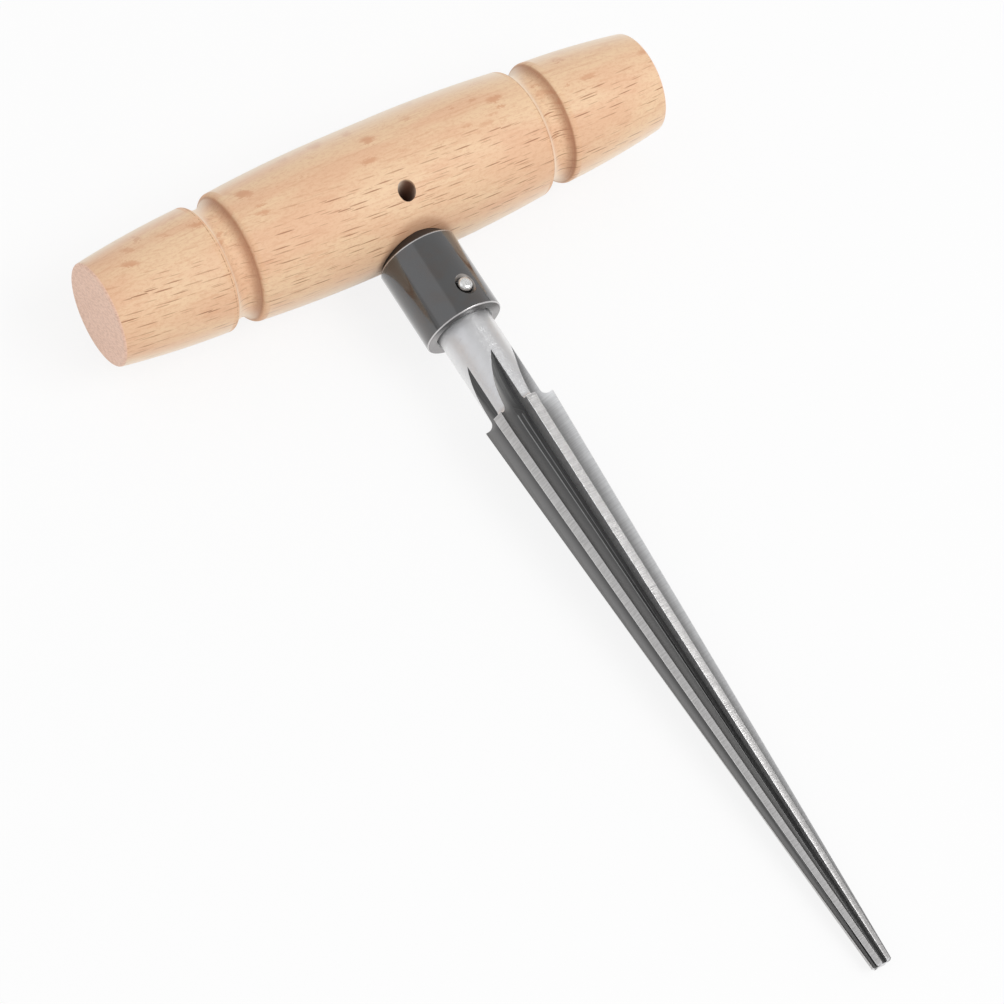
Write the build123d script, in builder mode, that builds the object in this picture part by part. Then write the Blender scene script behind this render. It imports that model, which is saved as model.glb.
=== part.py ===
from build123d import *
import os
from math import acos, asin, atan2, cos, degrees, hypot, radians, sin, sqrt

# Tapered hand reamer with a turned wooden cross handle, lying as it comes to rest: the barrel of
# the handle and the tip of the cutter touch the floor at z = 0. The handle runs along X and the
# cutter points along -Y. Millimetres. The origin is the middle of the underside of the whole tool.

# Turned handle
handle_length = 105.6
handle_radius = 12.3  # at the middle of the barrel
handle_end_radius = 8.9
handle_end_crown = 0.37  # how far an end's side bulges past a straight line
handle_edge_round = 0.5
barrel_straight = 9.0  # length of the barrel's middle that runs straight
groove_place = 30.65  # from the middle of the handle to the middle of a groove
groove_rim_radius = 10.95  # handle radius that a groove is sunk from
groove_bottom_radius = 9.5
groove_arc_radius = 2.7
groove_lip_round = 0.8

# Steel collar with the stem that goes into the handle
collar_radius = 7.0
collar_top = 13.0  # all distances along the tool are from the handle's own axis
collar_bottom = 28.0
collar_edge_bevel = 0.25
stem_radius = 5.2
stem_depth = 4.0  # how far the stem goes on past the handle's axis
stem_bevel = 0.5
bore_depth = 12.5  # socket for the shank, from the collar's lower face
bore_mouth_bevel = 0.4

# Fits
wood_clearance = 0.05  # stem and cone in the handle, on the radius
socket_clearance = 0.05  # shank in the collar, on the radius
pin_clearance = 0.03  # a pin in the steel that holds it, on the radius
end_clearance = 0.3  # left past the end of a stem, a shank or a pin in its blind hole

# Cutter: shank and fluted taper ground from one bar
shank_radius = 4.8
shank_bevel = 0.4
shoulder_place = 44.85
shoulder_dish = 0.3  # the shoulder's rim stands this much nearer the handle than its root
shoulder_round = 0.7
cutter_radius = 6.5  # cutting edges at the shoulder
tip_radius = 1.77  # cutting edges at the tip
cutter_length = 105.9
tip_bevel = 0.25
flute_count = 6
first_edge_angle = -3.5  # degrees from straight up, at the shoulder
rake_offset = 0.8  # the flat front of a tooth stands this far beside the axis
relief_angle = 5.0  # degrees that a land falls below the circle of its cutting edge
land_width_wide = 1.85
land_width_tip = 0.8

# Form of a flute across the tool, as shares of the radius of the cutting edges there. Sideways is
# measured from the axis along the square of the tooth's flat front, outwards along that front.
floor_wide = 0.30
floor_tip = 0.42
corner_wide = (-0.03, 0.33)
corner_tip = (0.14, 0.56)
ridge_wide = (-0.17, 0.47)
ridge_tip = (-0.01, 0.72)
hollow_wide = 0.03
hollow_tip = 0.02
wheel_radius = 17.0  # grinding wheel that leaves the flute's run-out in the shank

# Pins
cross_pin_radius = 1.18
cross_pin_place = 23.65
cross_pin_turn = 12.0  # degrees from straight up, about the tool's axis
cross_pin_proud = 0.35
cross_pin_round = 0.7
cross_hole_gap = 0.27  # between the pin and the collar's wall
cross_hole_sink = 0.5  # width of the countersink
handle_pin_radius = 1.5
handle_pin_gap = 0.1  # between the pin and the wood
handle_pin_proud = 0.3  # how far the pin stands out of the stem, deep in its hole
handle_pin_bevel = 0.3
handle_hole_place = 6.1
handle_hole_depth = 8.0  # past the tool's axis, on the far side

# Pose at rest: the tool's axis falls from the handle's middle to the tip
tip_place = shoulder_place + cutter_length
fall = asin(handle_radius / hypot(tip_place, tip_radius)) - atan2(tip_radius, tip_place)
handle_y = (tip_place * cos(fall) + tip_radius * sin(fall) - handle_radius) / 2
middle = (0, handle_y, handle_radius)
tool = Plane(origin=middle, x_dir=(1, 0, 0), z_dir=(0, -cos(fall), -sin(fall)))
side = Plane(origin=middle, x_dir=(1, 0, 0), z_dir=-tool.y_dir)  # its local y runs down the tool
turning = Plane(origin=middle, x_dir=(1, 0, 0), z_dir=(0, 0, 1))
tool_axis = Axis(tool.origin, tool.z_dir)
handle_axis = Axis(tool.origin, tool.x_dir)

# Sizes that follow
half_length = handle_length / 2
end_middle = (groove_place + half_length) / 2
end_middle_radius = (groove_rim_radius + handle_end_radius) / 2 + handle_end_crown
cone_top = collar_top - (collar_radius - stem_radius)
wood_bore_radius = stem_radius + wood_clearance
wood_cone_top = cone_top + wood_clearance * (1 - sqrt(2))
bore_radius = shank_radius + socket_clearance
bore_end = collar_bottom - bore_depth
shank_top = bore_end + end_clearance
cross_hole_radius = cross_pin_radius + cross_hole_gap
handle_hole_radius = handle_pin_radius + handle_pin_gap

# How far the grinding cuts run past what they leave
past_tip = 2.0
past_edge = 0.6
outside = 3.0
blank_spare = 0.4


def pin_plane(place, turn):
    """A plane through the tool's axis, square to a pin that is turned from straight up."""
    along = tool.y_dir * cos(radians(turn)) + tool.x_dir * sin(radians(turn))
    return Plane(origin=tool.origin + tool.z_dir * place, x_dir=tool.z_dir, z_dir=along)


cross_plane = pin_plane(cross_pin_place, cross_pin_turn)
handle_pin_plane = pin_plane(handle_hole_place, 0)

# Handle: one turned piece with a groove near each end, bored for the stem and for a pin
with BuildPart() as handle:
    with BuildSketch(turning) as handle_outline:
        with BuildLine():
            Line((groove_place, groove_rim_radius), (groove_place, 0))
            Line((groove_place, 0), (-groove_place, 0))
            Line((-groove_place, 0), (-groove_place, groove_rim_radius))
            Line((-barrel_straight / 2, handle_radius), (barrel_straight / 2, handle_radius))
            for way in (-1, 1):
                straight_end = (way * barrel_straight / 2, handle_radius)
                rim = (way * groove_place, groove_rim_radius)
                TangentArc(straight_end, rim, tangent=(way, 0))
        make_face()
        with BuildLine() as end_line:
            Line((groove_place, groove_rim_radius), (groove_place, 0))
            Line((groove_place, 0), (half_length, 0))
            Line((half_length, 0), (half_length, handle_end_radius))
            ThreePointArc(
                (half_length, handle_end_radius),
                (end_middle, end_middle_radius),
                (groove_place, groove_rim_radius),
            )
        end_face = make_face()
        mirror(end_face, about=Plane.YZ)
        groove_centre = groove_bottom_radius + groove_arc_radius
        with Locations((groove_place, groove_centre), (-groove_place, groove_centre)):
            Circle(groove_arc_radius, mode=Mode.SUBTRACT)
        in_grooves = handle_outline.vertices().filter_by(
            lambda v: v.Y > groove_bottom_radius and abs(abs(v.X) - groove_place) < 2 * groove_arc_radius
        )
        fillet(in_grooves, groove_lip_round)
        rims = handle_outline.vertices().group_by(Axis.X)
        fillet(rims[0].sort_by(Axis.Y)[-1:] + rims[-1].sort_by(Axis.Y)[-1:], handle_edge_round)
    revolve(axis=handle_axis)
    with BuildSketch(side):
        with BuildLine():
            Polyline(
                (0, -stem_depth - end_clearance),
                (wood_bore_radius, -stem_depth - end_clearance),
                (wood_bore_radius, wood_cone_top),
                (wood_bore_radius + handle_radius, wood_cone_top + handle_radius),
                (0, wood_cone_top + handle_radius),
                close=True,
            )
        make_face()
    revolve(axis=tool_axis, mode=Mode.SUBTRACT)
    with Locations(handle_pin_plane.offset(-handle_hole_depth)):
        Cylinder(
            handle_hole_radius,
            handle_hole_depth + handle_radius,
            align=(Align.CENTER, Align.CENTER, Align.MIN),
            mode=Mode.SUBTRACT,
        )

# Collar: one turned steel piece, a stem in the wood, a cone seat and a socket for the shank
with BuildPart() as collar:
    with BuildSketch(side):
        with BuildLine():
            Polyline(
                (0, -stem_depth),
                (stem_radius - stem_bevel, -stem_depth),
                (stem_radius, -stem_depth + stem_bevel),
                (stem_radius, cone_top),
                (collar_radius, collar_top),
                (collar_radius, collar_bottom - collar_edge_bevel),
                (collar_radius - collar_edge_bevel, collar_bottom),
                (bore_radius + bore_mouth_bevel, collar_bottom),
                (bore_radius, collar_bottom - bore_mouth_bevel),
                (bore_radius, bore_end),
                (0, bore_end),
                close=True,
            )
        make_face()
    revolve(axis=tool_axis)
    with Locations(cross_plane.offset(collar_radius), (-cross_plane).offset(collar_radius)):
        CounterSinkHole(
            cross_hole_radius,
            cross_hole_radius + cross_hole_sink,
            depth=collar_radius,
            counter_sink_angle=90,
        )
    with Locations(handle_pin_plane):
        Cylinder(handle_pin_radius + pin_clearance, 4 * stem_radius, mode=Mode.SUBTRACT)


def edge_radius(place):
    """Radius of the cutting edges at a distance down the tool."""
    return between(cutter_radius, tip_radius, place)


def between(wide, tip, place):
    """A size that runs evenly from the shoulder to the tip."""
    return wide + (tip - wide) * (place - shoulder_place) / cutter_length


def land_edges(place):
    """Cutting edge and heel of the first tooth, measured from its flat front."""
    radius = edge_radius(place)
    land = between(land_width_wide, land_width_tip, place)
    edge = Vector(rake_offset, sqrt(radius**2 - rake_offset**2))
    chord_angle = degrees(asin(land / radius / 2))
    back = edge.normalized().rotate(Axis.Z, -90 - chord_angle - relief_angle)
    return edge, edge + back * land


def across_tool(points):
    """Points measured from the flat front of the first tooth, turned to where that tooth stands."""
    turn = first_edge_angle - degrees(asin(rake_offset / cutter_radius))
    return [Vector(*point).rotate(Axis.Z, -turn) for point in points]


def flute_section(place):
    """The space of one flute across the tool, closed outside the blank."""
    radius = edge_radius(place)
    _, own_heel = land_edges(place)
    heel = own_heel.rotate(Axis.Z, 360 / flute_count)
    ridge = Vector(*(between(w, t, place) * radius for w, t in zip(ridge_wide, ridge_tip)))
    corner = Vector(*(between(w, t, place) * radius for w, t in zip(corner_wide, corner_tip)))
    foot = Vector(rake_offset, between(floor_wide, floor_tip, place) * radius)
    into_tooth = (ridge - heel).normalized().rotate(Axis.Z, -90)
    hollow = (heel + ridge) / 2 + into_tooth * between(hollow_wide, hollow_tip, place) * radius
    front_top = Vector(rake_offset, radius + outside)
    heel_top = heel + heel.normalized() * outside
    with BuildSketch(Plane.XY.offset(place)) as section:
        with BuildLine():
            ThreePointArc(across_tool((heel, hollow, ridge)))
            Polyline(across_tool((ridge, corner, foot, front_top, heel_top, heel)))
        make_face()
    return section.sketch


def relief_section(place):
    """What is ground off behind the cutting edge of one tooth."""
    edge, heel = land_edges(place)
    past = (heel - edge).normalized() * past_edge
    out = edge.normalized() * outside
    with BuildSketch(Plane.XY.offset(place)) as section:
        with BuildLine():
            corners = (edge - past, heel + past, heel + past + out, edge - past + out)
            Polyline(across_tool(corners), close=True)
        make_face()
    return section.sketch


# One flute cut: straight from the shoulder to past the tip, and out through the shank on the
# round of the grinding wheel. Both are made upright, with the tool pointing along Z.
shoulder_section = flute_section(shoulder_place)
wheel_height = floor_wide * cutter_radius + wheel_radius
wheel_rise = shank_radius + outside - floor_wide * cutter_radius
wheel_middle, wheel_end = across_tool(((0, wheel_height), (1, wheel_height)))
wheel_lift = Vector(0, 0, shoulder_place)
wheel_axis = Axis(wheel_middle + wheel_lift, wheel_end - wheel_middle)
with BuildPart() as flute_cut:
    loft((shoulder_section, flute_section(tip_place + past_tip)), ruled=True)
    revolve(shoulder_section, axis=wheel_axis, revolution_arc=degrees(acos(1 - wheel_rise / wheel_radius)))

with BuildPart() as relief_cut:
    loft((relief_section(shoulder_place - past_tip), relief_section(tip_place + past_tip)), ruled=True)

# Reamer: the whole bar is turned, then each flute and the relief behind each edge is ground
with BuildPart(tool) as reamer:
    with BuildSketch(side) as bar:
        rim_slope = shoulder_dish / (cutter_radius - shank_radius)
        blank_rim = shoulder_place - rim_slope * blank_spare
        root = (shank_radius, shoulder_place + shoulder_dish)
        with BuildLine():
            Polyline(
                (0, shank_top),
                (shank_radius - shank_bevel, shank_top),
                (shank_radius, shank_top + shank_bevel),
                root,
                (cutter_radius + blank_spare, blank_rim),
                (tip_radius + blank_spare, tip_place - tip_bevel - blank_spare),
                (tip_radius - tip_bevel, tip_place),
                (0, tip_place),
                close=True,
            )
        make_face()
        fillet(bar.vertices().sort_by_distance(root)[0], shoulder_round)
    revolve(axis=tool_axis)
    with PolarLocations(0, flute_count):
        add(flute_cut.part, mode=Mode.SUBTRACT)
        add(relief_cut.part, mode=Mode.SUBTRACT)
    with Locations((0, 0, cross_pin_place)):
        Cylinder(
            cross_pin_radius + pin_clearance,
            4 * shank_radius,
            rotation=(-90, cross_pin_turn, 0),
            mode=Mode.SUBTRACT,
        )

# Pin through the collar and the shank, its domed ends just proud of the collar
with BuildPart(cross_plane) as shank_pin:
    Cylinder(cross_pin_radius, 2 * (collar_radius + cross_pin_proud))
    fillet(shank_pin.edges().filter_by(GeomType.CIRCLE), cross_pin_round)

# Pin through the handle and the stem, sunk out of sight in its hole
with BuildPart(handle_pin_plane.offset(end_clearance - handle_hole_depth)) as handle_pin:
    Cylinder(
        handle_pin_radius,
        handle_hole_depth - end_clearance + stem_radius + handle_pin_proud,
        align=(Align.CENTER, Align.CENTER, Align.MIN),
    )
    chamfer(handle_pin.edges().filter_by(GeomType.CIRCLE), handle_pin_bevel)

os.makedirs("parts", exist_ok=True)
for name, piece in (
    ("handle", handle),
    ("collar", collar),
    ("reamer", reamer),
    ("shank_pin", shank_pin),
    ("handle_pin", handle_pin),
):
    piece.part.label = name
    export_step(piece.part, f"parts/{name}.step")
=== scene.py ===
import logging
import math
from dataclasses import dataclass
from enum import Enum
from typing import Callable

import bmesh
import bpy
import numpy as np
from mathutils import Matrix, Vector


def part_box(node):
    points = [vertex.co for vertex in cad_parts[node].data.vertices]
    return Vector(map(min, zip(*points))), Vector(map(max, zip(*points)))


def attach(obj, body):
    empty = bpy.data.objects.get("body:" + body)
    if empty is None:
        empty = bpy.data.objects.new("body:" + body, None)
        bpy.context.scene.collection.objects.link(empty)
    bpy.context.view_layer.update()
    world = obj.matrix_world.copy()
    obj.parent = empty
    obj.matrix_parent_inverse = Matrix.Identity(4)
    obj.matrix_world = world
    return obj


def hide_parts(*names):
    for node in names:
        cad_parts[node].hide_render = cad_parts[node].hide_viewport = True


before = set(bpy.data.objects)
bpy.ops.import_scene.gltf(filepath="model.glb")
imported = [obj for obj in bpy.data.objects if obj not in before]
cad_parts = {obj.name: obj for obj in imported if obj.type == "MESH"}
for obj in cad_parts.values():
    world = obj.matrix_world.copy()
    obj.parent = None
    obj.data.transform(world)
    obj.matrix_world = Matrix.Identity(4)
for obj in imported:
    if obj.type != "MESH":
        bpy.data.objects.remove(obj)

# Looks of the tapered hand reamer. Sizes are millimetres until a mesh is made. Places on the tool are
# measured in its own frame: across (+X of the row), up (square to the tool's axis) and down the tool.

log = logging.getLogger("reamer")
MM = 0.001
SAME_POINT = 2e-6  # metres between points that are joined
ON_AXIS = 1e-9  # a smaller radius makes one point in place of a ring
HALVINGS = 50  # of the range in which a change of sign is looked for
HOLE_SEGMENTS = 48
Pair = tuple[float, float]
Triple = tuple[float, float, float]
SHANK_PIN: Pair = (23.65, 12.0)  # millimetres down the tool, and degrees from straight up
HANDLE_PIN: Pair = (6.1, 0.0)


class Wire:
    """A socket that arithmetic can be written on."""

    def __init__(self, graph: "Graph", socket: bpy.types.NodeSocket) -> None:
        """Wrap one output socket of a graph."""
        self.graph = graph
        self.socket = socket

    def maths(self, operation: str, *values: object) -> "Wire":
        """Add one Math node, whose inputs are wires or numbers."""
        return self.graph.add("ShaderNodeMath", {"operation": operation}, dict(enumerate(values)))

    def __add__(self, other: object) -> "Wire":
        """The sum."""
        return self.maths("ADD", self, other)

    def __sub__(self, other: object) -> "Wire":
        """The difference."""
        return self.maths("SUBTRACT", self, other)

    def __rsub__(self, other: object) -> "Wire":
        """The difference, the other way round."""
        return self.maths("SUBTRACT", other, self)

    def __mul__(self, other: object) -> "Wire":
        """The product."""
        return self.maths("MULTIPLY", self, other)

    def __pow__(self, other: object) -> "Wire":
        """The power."""
        return self.maths("POWER", self, other)

    def hypot(self, other: "Wire") -> "Wire":
        """The long side of the right angle whose other sides are the two."""
        return (self * self + other * other) ** 0.5

    def size(self) -> "Wire":
        """The absolute value."""
        return self.maths("ABSOLUTE", self)

    def over(self, other: object) -> "Wire":
        """The larger of the two."""
        return self.maths("MAXIMUM", self, other)

    def step(self, low: float, high: float) -> "Wire":
        """A smooth step from 0 at low to 1 at high, which may be below low."""
        sockets = {"Value": self, "From Min": low, "From Max": high}
        return self.graph.add("ShaderNodeMapRange", {"interpolation_type": "SMOOTHSTEP"}, sockets)

    def span(self, low: float, high: float) -> "Wire":
        """Stretch 0 to 1 into a range, and keep the result inside it."""
        return self.graph.add("ShaderNodeMapRange", {}, {"Value": self, "To Min": low, "To Max": high})

    def beside(self, out: int | str) -> "Wire":
        """Another output of the same node."""
        return Wire(self.graph, self.socket.node.outputs[out])


class Graph:
    """The node tree of a material, of the world or of a modifier."""

    def __init__(self, tree: bpy.types.NodeTree) -> None:
        """Start from the empty tree."""
        self.tree = tree
        self.tree.nodes.clear()

    def add(
        self, kind: str, settings: dict | None = None, sockets: dict | None = None, out: int | str = 0
    ) -> Wire:
        """Add any node: its settings first, then its sockets.

        Args:
            kind: the node's type.
            settings: attributes of the node.
            sockets: input names or numbers with wires, numbers, colours or materials.
            out: the output to hand back.

        Returns:
            The chosen output.
        """
        node = self.tree.nodes.new(kind)
        for name, value in (settings or {}).items():
            setattr(node, name, value)
        for name, value in (sockets or {}).items():
            socket = node.inputs[name]
            if isinstance(value, Wire):
                self.tree.links.new(value.socket, socket)
            else:
                socket.default_value = (*value, 1.0) if socket.type == "RGBA" else value
        return Wire(self, node.outputs[out] if len(node.outputs) else None)

    def colour(self, factor: object, first: object, second: object) -> Wire:
        """Mix two colours; the factor is how much of the second."""
        return self.add("ShaderNodeMix", {"data_type": "RGBA"}, {0: factor, 6: first, 7: second}, 2)

    def number(self, factor: object, first: object, second: object) -> Wire:
        """Mix two numbers; the factor is how much of the second."""
        return self.add("ShaderNodeMix", {"data_type": "FLOAT"}, {0: factor, 2: first, 3: second})

    def vector(self, across: object, up: object, along: object) -> Wire:
        """Three numbers as one vector."""
        return self.add("ShaderNodeCombineXYZ", {}, {0: across, 1: up, 2: along})

    def parts(self, vector: Wire) -> tuple[Wire, Wire, Wire]:
        """The three numbers of a vector."""
        first = self.add("ShaderNodeSeparateXYZ", {}, {0: vector})
        return first, first.beside(1), first.beside(2)

    def noise(
        self, place: Wire, scale: float | Triple, detail: float = 2.0, roughness: float = 0.5
    ) -> Wire:
        """Noise from about 0 to 1.

        Args:
            place: where it is read.
            scale: cells in one unit, or in one unit along each axis.
            detail: finer layers.
            roughness: how strong the finer layers are.

        Returns:
            The noise.
        """
        if isinstance(scale, tuple):
            place, scale = self.maths("MULTIPLY", place, scale), 1.0
        sockets = {"Vector": place, "Scale": scale, "Detail": detail, "Roughness": roughness}
        return self.add("ShaderNodeTexNoise", {}, sockets)

    def maths(
        self, operation: str, first: object, second: object = (0, 0, 0), out: int | str = 0
    ) -> Wire:
        """Add one Vector Math node."""
        return self.add("ShaderNodeVectorMath", {"operation": operation}, {0: first, 1: second}, out)

    def own_place(self) -> Wire:
        """Object coordinates in millimetres."""
        return self.maths("DIVIDE", self.add("ShaderNodeTexCoord", {}, {}, "Object"), (MM, MM, MM))

    def from_middle(self, tool: "ToolFrame") -> tuple[Wire, Wire, Wire]:
        """Millimetres from the tool's middle along the row's axes."""
        return self.parts(self.maths("SUBTRACT", self.own_place(), tuple(tool.middle / MM)))

    def on_tool(self, tool: "ToolFrame") -> tuple[Wire, Wire, Wire]:
        """Place measured in the tool's own frame.

        Args:
            tool: where the tool lies.

        Returns:
            Millimetres across, up and down the tool.
        """
        x, y, z = self.from_middle(tool)
        cos, sin = math.cos(tool.fall), math.sin(tool.fall)
        return x, z * cos - y * sin, y * -cos + z * -sin

    def attribute(self, name: str) -> Wire:
        """A number that the mesh carries."""
        return self.add("ShaderNodeAttribute", {"attribute_name": name}, {}, "Fac")

    def grazing(self) -> Wire:
        """From 0 where a face looks at the camera to 1 at its outline."""
        return self.add("ShaderNodeLayerWeight", {}, {"Blend": 0.5}, "Facing")

    def bump(self, height: Wire, depth: float) -> Wire:
        """A normal bent by a height, where 1 is as high as depth in millimetres."""
        return self.add("ShaderNodeBump", {}, {"Height": height, "Distance": depth * MM, "Strength": 1.0})

    def finish(self, sockets: dict) -> None:
        """End the tree in a Principled surface with these inputs."""
        surface = self.add("ShaderNodeBsdfPrincipled", {}, sockets)
        self.add("ShaderNodeOutputMaterial", {}, {"Surface": surface})


def shader_graph(owner: bpy.types.Material | bpy.types.World) -> Graph:
    """The empty graph of a material or of the world."""
    owner.use_nodes = True
    return Graph(owner.node_tree)


def new_material(name: str) -> tuple[bpy.types.Material, Graph]:
    """An empty material and its graph."""
    material = bpy.data.materials.new(name)
    return material, shader_graph(material)


def new_object(name: str, data: bpy.types.ID) -> bpy.types.Object:
    """Make an object and put it in the scene.

    Args:
        name: its name.
        data: its mesh, camera or light.

    Returns:
        The object.
    """
    made = bpy.data.objects.new(name, data)
    bpy.context.scene.collection.objects.link(made)
    return made


def between(first: float, last: float, share: float) -> float:
    """A value part of the way from first to last."""
    return first + (last - first) * share


def spread(first: float, last: float, steps: int, crowding: float = 1.0) -> list[float]:
    """Values from first to last, closer together near the first where crowding is over 1."""
    return [between(first, last, (step / steps) ** crowding) for step in range(steps + 1)]


def polar(radius: float, angle: float, x: float = 0.0, y: float = 0.0) -> Pair:
    """A point on a circle about (x, y), at an angle in radians."""
    return x + radius * math.cos(angle), y + radius * math.sin(angle)


@dataclass(frozen=True)
class ToolFrame:
    """Where the tool lies: its middle is where the handle's axis and the cutter's axis cross."""

    middle: Vector
    fall: float

    def world(self) -> Matrix:
        """The matrix from millimetres across, up and down the tool to metres in the row.

        Returns:
            The matrix.
        """
        down = Vector((0, -math.cos(self.fall), -math.sin(self.fall)))
        up = Vector((0, -math.sin(self.fall), math.cos(self.fall)))
        turn = Matrix((Vector((1, 0, 0)), up, down)).transposed().to_4x4()
        return Matrix.Translation(self.middle) @ turn @ Matrix.Scale(MM, 4)

    def across(self, place: float, turn: float) -> Matrix:
        """The frame of a pin through the axis, from its place down the tool and its degrees from up."""
        lean = Matrix.Rotation(math.radians(-turn), 4, "Z") @ Matrix.Rotation(math.radians(-90), 4, "X")
        return self.world() @ Matrix.Translation((0, 0, place)) @ lean

    def along_handle(self) -> Matrix:
        """The frame whose third axis runs along the handle, from millimetres to metres."""
        turn = Matrix.Rotation(math.radians(90), 4, "Y")
        return Matrix.Translation(self.middle) @ turn @ Matrix.Scale(MM, 4)


class Outline:
    """Points of a profile that is turned: each is a place along the axis and a radius."""

    def __init__(self, *points: Pair) -> None:
        """Start from some points."""
        self.points: list[Pair] = list(points)

    def to(self, *points: Pair) -> "Outline":
        """Add points."""
        self.points.extend(points)
        return self

    def arc(self, centre: Pair, radius: float, start: float, end: float, steps: int) -> "Outline":
        """Add an arc between two angles in degrees from the axis."""
        angles = spread(math.radians(start), math.radians(end), steps)
        return self.to(*(polar(radius, angle, *centre) for angle in angles))

    def curve(self, form: Callable[[float], float], start: float, end: float, steps: int) -> "Outline":
        """Add a curve given as a radius at each place."""
        return self.to(*((place, form(place)) for place in spread(start, end, steps)))

    def doubled(self) -> "Outline":
        """This outline, which starts at 0, with its mirror image before it."""
        mirrored = [(-place, radius) for place, radius in reversed(self.points)]
        return Outline(*mirrored, *self.points[1:])


def rod(start: float, end: float, radius: float) -> Outline:
    """The outline of a plain rod."""
    return Outline((start, 0.0), (start, radius), (end, radius), (end, 0.0))


def turned(name: str, outline: Outline, where: Matrix, segments: int) -> bpy.types.Object:
    """Turn an outline about its axis into a closed mesh.

    Args:
        name: the piece's name.
        outline: the profile, with a radius of 0 at both ends.
        where: from millimetres to metres in the row.
        segments: pieces round the axis.

    Returns:
        The new object at the origin.
    """
    build = bmesh.new()
    angles = [2 * math.pi * step / segments for step in range(segments)]
    rings = []
    for place, radius in outline.points:
        around = angles if radius > ON_AXIS else [0.0]
        rings.append([build.verts.new((*polar(radius, angle), place)) for angle in around])
    for low, high in zip(rings, rings[1:]):
        for step in range(segments):
            square = ((low, step), (low, step + 1), (high, step + 1), (high, step))
            corners = [ring[number % len(ring)] for ring, number in square]
            build.faces.new(list(dict.fromkeys(corners)))
    return piece_from(name, build, where)


def piece_from(name: str, build: bmesh.types.BMesh, where: Matrix) -> bpy.types.Object:
    """Make an object of a bmesh, smooth, closed and with its normals outwards.

    Args:
        name: the piece's name.
        build: the mesh, freed here.
        where: from the mesh's units to metres in the row.

    Returns:
        The new object at the origin.
    """
    bmesh.ops.transform(build, matrix=where, verts=build.verts)
    bmesh.ops.remove_doubles(build, verts=build.verts, dist=SAME_POINT)
    bmesh.ops.recalc_face_normals(build, faces=build.faces)
    for face in build.faces:
        face.smooth = True
    mesh = bpy.data.meshes.new(name)
    build.to_mesh(mesh)
    build.free()
    return new_object(name, mesh)


def plain_copy(piece: bpy.types.Object) -> None:
    """Put the evaluated mesh in place of the piece's own and take its modifiers off.

    Args:
        piece: an object with modifiers.
    """
    bpy.context.view_layer.update()
    graph = bpy.context.evaluated_depsgraph_get()
    mesh = bpy.data.meshes.new_from_object(piece.evaluated_get(graph), depsgraph=graph)
    piece.modifiers.clear()
    mesh.name = piece.name
    piece.data = mesh


def cut(piece: bpy.types.Object, *cutters: bpy.types.Object) -> None:
    """Cut solids out of a piece and delete them.

    Args:
        piece: what is cut.
        cutters: closed solids.
    """
    for cutter in cutters:
        boolean = piece.modifiers.new("cut", "BOOLEAN")
        boolean.operation = "DIFFERENCE"
        boolean.solver = "EXACT"
        boolean.object = cutter
    plain_copy(piece)
    for cutter in cutters:
        bpy.data.objects.remove(cutter)


def crease(piece: bpy.types.Object, degrees: float) -> None:
    """Shade a piece smooth, with sharp edges where faces turn by more than an angle."""
    piece.data.shade_smooth()
    piece.data.set_sharp_from_angle(angle=math.radians(degrees))


def solved(test: Callable[[float], float], low: float, high: float) -> float:
    """Find where a function changes sign.

    Args:
        test: the function, of one sign at low and the other at high.
        low: one end.
        high: the other end.

    Returns:
        The place of the change.
    """
    sign = test(low) > 0
    for _ in range(HALVINGS):
        middle = (low + high) / 2
        if (test(middle) > 0) == sign:
            low = middle
        else:
            high = middle
    return (low + high) / 2


def circle_through(a: Pair, b: Pair, c: Pair) -> tuple[Pair, float]:
    """The circle through three points.

    Args:
        a: first point.
        b: second point.
        c: third point.

    Returns:
        Its centre and radius.
    """
    rows = np.array([b, c]) - a
    x, y = np.linalg.solve(2 * rows, (rows**2).sum(axis=1)) + a
    return (float(x), float(y)), math.hypot(a[0] - x, a[1] - y)


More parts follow.
